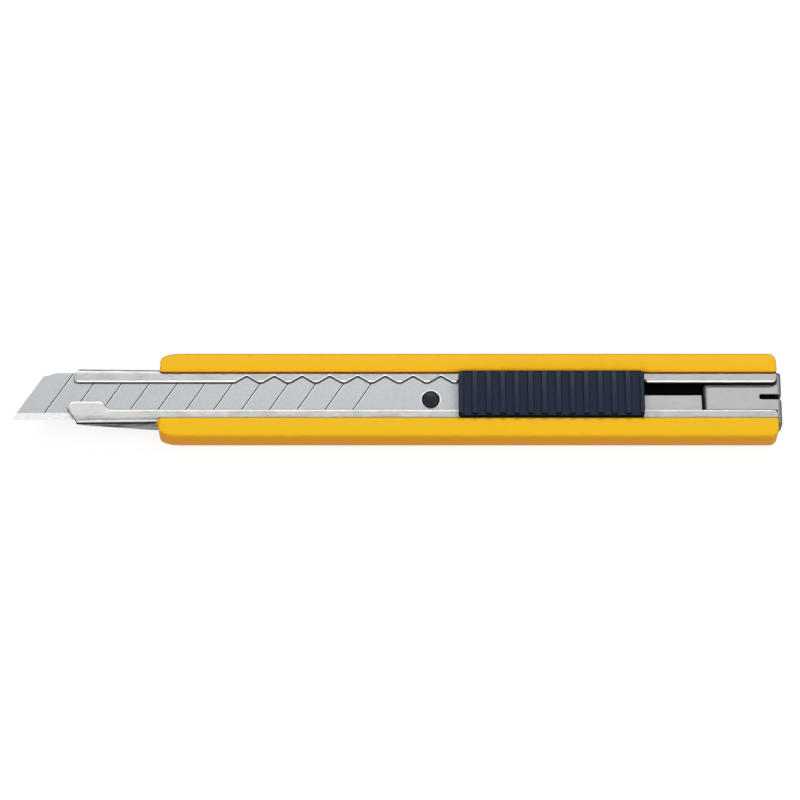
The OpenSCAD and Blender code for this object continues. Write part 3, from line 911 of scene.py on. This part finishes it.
def makeClip():
    bm = bmesh.new()
    for side in (1, -1):
        rings = loftInto(bm, clipHalf(side))
        bm.faces.new(rings[0])
        bm.faces.new(rings[-1])
    bmesh.ops.remove_doubles(bm, verts=bm.verts, dist=0.0008)
    # the two halves meet in a plane outside the slot: what is left inside is taken away
    middle = clip["slotY"]
    inside = [f for f in bm.faces if all(abs(v.co.y - middle) < 0.002 for v in f.verts)]
    bmesh.ops.delete(bm, geom=inside, context="FACES")
    return meshPiece("tail_clip_strip", bm, finishes["spring"])


clipPiece = makeClip()
keepFlat(clipPiece)
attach(clipPiece, "clip")
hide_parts("tail_clip")
print("tail clip made")

# the blade and the lock arm keep their CAD shape and get a finish
blade = {"bevel": (1.24, 1.32), "scoreAngle": 57, "pitch": 5.0, "scored": (1, 61), "scoreDark": (0.07, 0.13),
         "scoreLight": (0.12, 0.24), "ring": (1.64, 1.68, 1.8, 1.9)}


# ground blade steel: plain flats, a bright bevel, score lines painted dark with a painted highlight on one
# side, a painted highlight round the hole
def bladeSteel():
    b = blade
    colour = (0.49, 0.515, 0.53)
    f = Finish("blade_steel", colour, 0.4, 1.0)
    x, y = f.axis("X"), f.axis("Y")
    edgeY = tipLow.y
    bevel = 1 - y.between(edgeY + b["bevel"][0], edgeY + b["bevel"][1])
    grind = f.noise(11.0, (1, 0.05, 1), detail=2)
    haze = f.noise(0.35, detail=3)
    mottle = f.noise(2.2, detail=4, roughness=0.7)
    steel = f.mix(haze, shade(colour, 0.95), shade(colour, 1.05))
    steel = f.mix(mottle.between(0.4, 0.62) * 0.2, steel, shade(colour, 0.62))
    # how far the point lies from the nearest score line, across it
    along = x - (y - edgeY) / tan(radians(b["scoreAngle"])) - tipLow.x
    half = b["pitch"] / 2
    nearest = f.calc("PINGPONG", along, half)
    signed = f.calc("WRAP", along, half, -half)
    scored = (1 - bevel) * (along > b["scored"][0]) * (along < b["scored"][1])
    # painted shade in each score line and a painted highlight along one side of it
    dark = (1 - nearest.between(*b["scoreDark"])) * scored
    paintedHighlight = (signed > b["scoreLight"][0]) * (signed < b["scoreLight"][1]) * scored
    steel = f.mix(paintedHighlight * 0.75, steel, (0.86, 0.87, 0.88, 1))
    steel = f.mix(dark, steel, (0.035, 0.037, 0.04, 1))
    # painted highlight as a bright ring round the hole's rim
    dx, dy = x - (runnerLow.x + runner["pegBack"]), y + runner["pegShift"]
    away = f.calc("SQRT", dx * dx + dy * dy)
    ring = away.between(*b["ring"][:2]) * (1 - away.between(*b["ring"][2:]))
    steel = f.mix(ring * 0.8, steel, (0.95, 0.95, 0.95, 1))
    ground = f.mix(mottle.between(0.45, 0.6) * 0.25, (0.93, 0.93, 0.925, 1), (0.6, 0.6, 0.6, 1))
    f.put("Base Color", f.mix(bevel, steel, ground))
    f.put("Roughness", 0.46 + 0.08 * haze + 0.06 * grind + 0.12 * bevel)
    f.bump(grind, 0.08, 0.008)
    return f.material


finishes["blade"] = bladeSteel()
bladeNodes = [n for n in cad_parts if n.startswith("blade_segment_")] + ["blade_tang"]
for name, finish in [(n, "blade") for n in bladeNodes] + [("lock_arm", "spring")]:
    node = bpy.data.objects.get(name)
    node.data.materials.clear()
    node.data.materials.append(finishes[finish])
print("blade finished")


def makeFloor():
    f = Finish("pale_floor", (0.3, 0.3, 0.3), 0.9)
    f.put("Specular IOR Level", 0.1)
    f.put("Emission Color", (1, 1, 1, 1))
    f.put("Emission Strength", 0.78)
    half = 3.0
    corners = [(-half, -half, 0), (half, -half, 0), (half, half, 0), (-half, half, 0)]
    mesh = bpy.data.meshes.new("floor")
    mesh.from_pydata(corners, [], [(0, 1, 2, 3)])
    mesh.materials.append(f.material)
    floor = bpy.data.objects.new("floor", mesh)
    bpy.context.scene.collection.objects.link(floor)
    # the floor carries the shadow, and the dark lower half of the room stands in its place in reflections
    floor.visible_diffuse = False
    floor.visible_glossy = False


# a soft box seen from the knife at an angle from straight up, toward the front when positive
def softBox(name, angle, bearing, distance, size, radiance):
    data = bpy.data.lights.new(name, "AREA")
    data.shape = "RECTANGLE"
    data.size, data.size_y = size
    data.energy = radiance * pi * size[0] * size[1]
    lamp = bpy.data.objects.new(name, data)
    bpy.context.scene.collection.objects.link(lamp)
    tilt, turn = radians(angle), radians(bearing)
    toward = Vector((sin(tilt) * sin(turn), -sin(tilt) * cos(turn), cos(tilt)))
    lamp.location = toward * distance
    lamp.rotation_euler = toward.to_track_quat("Z", "Y").to_euler()


# the room's grey by angle round the knife's long axis: from straight down through the back, straight up
# and the front
room = ((-180, 0.35), (-140, 0.3), (-92, 0.25), (-75, 0.1), (-55, 0.14), (-35, 0.12), (-5, 0.14), (28, 0.3),
        (42, 1.0), (85, 1.0), (95, 0.1), (138, 0.1), (152, 0.4), (180, 0.4))


def makeRoom():
    world = bpy.data.worlds.new("studio")
    bpy.context.scene.world = world
    world.use_nodes = True
    w = Wiring(world.node_tree)
    direction = w.node("ShaderNodeTexCoord", out="Generated")
    y = w.node("ShaderNodeSeparateXYZ", values={0: direction}, out="Y")
    z = w.node("ShaderNodeSeparateXYZ", values={0: direction}, out="Z")
    turn = w.calc("ARCTAN2", y, z) * (-0.5 / pi) + 0.5
    stops = [(0.5 + degrees / 360, (grey, grey, grey)) for degrees, grey in room]
    back = world.node_tree.nodes["Background"]
    w.join(back.inputs[0], w.node("ShaderNodeValToRGB", {"stops": stops}, {0: turn}))
    back.inputs[1].default_value = 1.0


def makeLights():
    softBox("back_key", -42, 0, 0.9, (0.8, 0.19), 9.3)
    softBox("front_strip", 50, 0, 0.9, (0.8, 0.1), 6)
    softBox("left_box", 45, -90, 1.0, (0.6, 0.8), 1.2)
    softBox("right_box", 45, 90, 1.0, (0.6, 0.8), 1.6)
    bpy.context.scene.view_settings.view_transform = "Standard"


makeFloor()
makeRoom()
makeLights()
print("studio ready")
